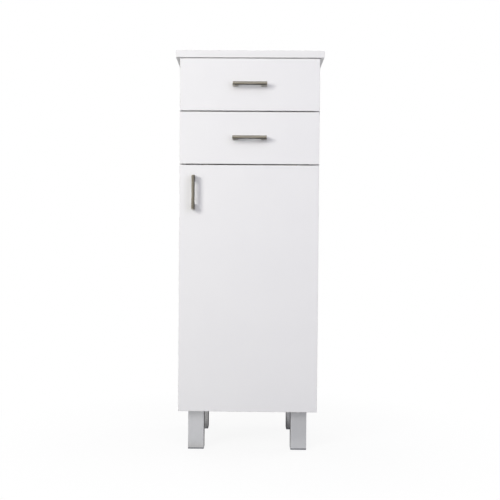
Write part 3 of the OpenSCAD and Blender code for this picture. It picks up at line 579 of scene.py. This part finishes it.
def soft_polyurethane(name):
    """Cast clear polyurethane: a soft, slightly milky button that passes some light."""
    material = new_material(name)
    point = add(material, "TexCoord").outputs["Object"]
    cloud = add(material, "TexNoise", {"Vector": point, "Scale": 1 / milky_cloud, "Detail": 1.0})
    rough = add(material, "MapRange", {"Value": cloud.outputs["Fac"], "To Min": 0.12, "To Max": 0.22})
    skin = add(material, "BsdfPrincipled", {"Base Color": to_linear("#E9ECEB"),
                                            "Roughness": rough.outputs[0],
                                            "IOR": 1.5, "Transmission Weight": 0.7})
    add(material, "OutputMaterial", {"Surface": skin.outputs[0]})
    return material


show(eased("door_bumpers", bumper_round, "_cast"), "door_bumpers", soft_polyurethane("clear_polyurethane"))

# ---------- hinges ----------
# Two concealed cup hinges of pressed steel, nickel plated: a cup and flange on the door, an arm on a
# cross-shaped plate on the side panel, and a short link on the arm's pin.

pressed_round = 0.3 * MM

hinge_nickel = plated_steel("nickel_plated_steel", "#CFCDC8", "#BDBBB5", 0.22, 8)
for node in ("hinge_cups", "hinge_plates", "hinge_arms", "hinge_links"):
    show(eased(node, pressed_round, "_pressed"), node, hinge_nickel)

# ---------- handles ----------
# Three bow handles, cast in zinc, brushed lengthwise and nickel plated: a crowned bar that bends back
# into two flat posts, held by screws from inside. Two lie across the drawers and one stands on the door.
# One edge of the crown is painted black, a painted dark reflection: the lower one on a drawer, and the right
# one on the door.

handle_low, handle_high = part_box("upper_drawer_handle")
handle_length, handle_reach, handle_width = handle_high - handle_low
bar_depth = 7 * MM
post_length = 14 * MM
crown_radius = 6 * MM
outer_bend = 1.5 * MM
inner_bend = 4 * MM
edge_fillet = 0.5 * MM
# The width of the crown's edge that is painted black as a dark reflection.
painted_reflection_width = 1.8 * MM
crown_half_angle = math.asin((handle_width / 2 - edge_fillet) / (crown_radius - edge_fillet))
bend_steps = 12
bar_steps = 40
post_steps = 6
crown_steps = 12
fillet_steps = 3
brush_length, brush_width = 25 * MM, 0.35 * MM


def bow_path(half_length, reach, bend):
    """Points of a U from the front board out, along and back: two straight posts and a straight bar, joined
    by quarter circles. Every U has the same numbers of steps, so that an outer and an inner one pair up.
    The third column is how far the U's outward side faces the front: 0 on a post, the sine of the turn in
    the bend, and 1 on the bar."""
    out = np.linspace(0, reach - bend, post_steps + 1)[:-1]
    turn = np.linspace(0, np.pi / 2, bend_steps + 1)[:-1]
    along = np.linspace(bend - half_length, 0, bar_steps // 2 + 1)
    x = np.concatenate([np.full_like(out, -half_length), bend - half_length - bend * np.cos(turn), along])
    y = np.concatenate([-out, bend - reach - bend * np.sin(turn), np.full_like(along, -reach)])
    facing = np.concatenate([np.zeros_like(out), np.sin(turn), np.ones_like(along)])
    mirrored = ((x, -1), (y, 1), (facing, 1))
    return np.stack([np.concatenate([half, sign * half[-2::-1]]) for half, sign in mirrored], axis=1)


def handle_profile():
    """The bar's section, as (share of the way from the outer U to the inner U, depth of the crown and depth
    of the rounded corner in metres from that U, height across the width). The crown is an arc of its
    radius up to its half angle, where a quarter circle of the fillet's radius takes over and ends on the
    straight side."""
    inside = handle_width / 2 - edge_fillet
    arc = np.linspace(-crown_half_angle, crown_half_angle, crown_steps + 1)
    corner = np.linspace(crown_half_angle, np.pi / 2, fillet_steps + 1)[1:]
    foot = np.linspace(0, np.pi / 2, fillet_steps + 1)
    fall = crown_radius * (1 - math.cos(crown_half_angle))
    rows = [(np.zeros_like(arc), crown_radius * (1 - np.cos(arc)), np.zeros_like(arc),
             crown_radius * np.sin(arc)),
            (np.zeros_like(corner), np.full_like(corner, fall),
             edge_fillet * (math.cos(crown_half_angle) - np.cos(corner)),
             inside + edge_fillet * np.sin(corner)),
            (np.ones_like(foot), np.zeros_like(foot), edge_fillet * (np.sin(foot) - 1),
             inside + edge_fillet * np.cos(foot))]
    share, crown, rounded, height = (np.concatenate(parts) for parts in zip(*rows))
    back = slice(None, crown_steps, -1)
    return (np.append(share, share[back]), np.append(crown, crown[back]), np.append(rounded, rounded[back]),
            np.append(height, -height[back]))


def bow_handle(name, to_place):
    """Carries the profile along the paired U's: a point is outer + share * (inner - outer), moved by its
    depth along the line from the outer to the inner U. to_place maps (x, y, z) onto the front. The UV map
    is metres along the bar and round its section."""
    outer_u = bow_path(handle_length / 2, handle_reach, outer_bend)
    outer, facing = outer_u[:, :2], outer_u[:, 2:]
    inner = bow_path(handle_length / 2 - post_length, handle_reach - bar_depth, inner_bend)[:, :2]
    gap = inner - outer
    way = gap / np.linalg.norm(gap, axis=1, keepdims=True)
    share, crown, rounded, height = handle_profile()
    depth = facing * crown + rounded
    flat = outer[:, None] + share[None, :, None] * gap[:, None] + depth[:, :, None] * way[:, None]
    points = np.concatenate([flat, np.broadcast_to(height[None, :, None], flat.shape[:2] + (1,))], axis=2)
    rings, sides = points.shape[:2]
    index = np.arange(rings * sides).reshape(rings, sides)
    following = np.roll(index, -1, axis=1)
    quads = np.stack([index[:-1], index[1:], following[1:], following[:-1]], axis=-1).reshape(-1, 4)
    faces = quads.tolist() + [index[0].tolist(), index[-1][::-1].tolist()]
    mesh = bpy.data.meshes.new(name)
    mesh.from_pydata(to_place(points.reshape(-1, 3)).tolist(), [], faces)
    mesh.shade_smooth()
    length = np.concatenate([[0], np.cumsum(np.linalg.norm(np.diff(outer, axis=0), axis=1))])
    ring = np.concatenate([[0], np.cumsum(np.linalg.norm(np.diff(points[rings // 2], axis=0), axis=1))])
    spread = np.stack(np.broadcast_arrays(length[:, None], ring[None, :]), axis=-1).reshape(-1, 2)
    corners = np.empty(len(mesh.loops), np.int32)
    mesh.loops.foreach_get("vertex_index", corners)
    mesh.uv_layers.new(name="along_and_round").data.foreach_set("uv", spread[corners].ravel())
    # The rim attribute marks the strip of the crown's edge that gets the painted dark reflection, fading out
    # round the bends.
    rim = facing * ((share == 0) & (height < painted_reflection_width - handle_width / 2))
    mesh.attributes.new("painted_reflection_rim", "FLOAT", "POINT").data.foreach_set("value", rim.ravel())
    handle = bpy.data.objects.new(name, mesh)
    bpy.context.scene.collection.objects.link(handle)
    return handle


def brushed_nickel(name):
    """Nickel plate over brushed zinc: warm grey metal with hairlines along the bar, bright all over but for
    one edge of the crown, where the rim attribute is 1 and black is painted on as a dark reflection. Real
    brush marks are under 0.1 mm wide; they are drawn coarser, which shows as a soft streak."""
    material = new_material(name)
    route = add(material, "UVMap", uv_map="along_and_round").outputs[0]
    rim = add(material, "Attribute", attribute_name="painted_reflection_rim").outputs["Fac"]
    marks = add(material, "Mapping", {"Vector": route, "Scale": (1 / brush_length, 1 / brush_width, 1.0)})
    brush = add(material, "TexNoise", {"Vector": marks.outputs[0], "Scale": 1.0, "Detail": 3.0})
    bright = add(material, "Mix", {"Factor": brush.outputs["Fac"], "A": to_linear("#D9D6CE"),
                                   "B": to_linear("#BEBBB3")}, data_type="RGBA")
    # The painted dark reflection: near-black colour on the crown's rim.
    dark = add(material, "Mix", {"Factor": brush.outputs["Fac"], "A": to_linear("#151413"),
                                 "B": to_linear("#0F0F0E")}, data_type="RGBA")
    tint = add(material, "Mix", {"Factor": rim, "A": bright.outputs["Result"], "B": dark.outputs["Result"]},
               data_type="RGBA")
    rough = add(material, "MapRange", {"Value": brush.outputs["Fac"], "To Min": 0.15, "To Max": 0.26})
    score = add(material, "Bump", {"Height": brush.outputs["Fac"], "Strength": 0.3, "Distance": 0.01 * MM})
    skin = add(material, "BsdfPrincipled", {"Base Color": tint.outputs["Result"], "Metallic": 1.0,
                                            "Specular Tint": to_linear("#D0CEC8"),
                                            "Roughness": rough.outputs[0], "Normal": score.outputs[0]})
    add(material, "OutputMaterial", {"Surface": skin.outputs[0]})
    return material


handle_nickel = brushed_nickel("brushed_nickel")
for node, upright in (("upper_drawer_handle", False), ("lower_drawer_handle", False), ("door_handle", True)):
    low, high = (np.array(corner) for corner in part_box(node))
    seat = np.array([(low[0] + high[0]) / 2, high[1], (low[2] + high[2]) / 2])
    turn = np.array([[0, 0, -1], [0, 1, 0], [1, 0, 0]]) if upright else np.eye(3)
    piece = bow_handle(node + "_bow", lambda points: points @ turn.T + seat)
    show(piece, node, handle_nickel)
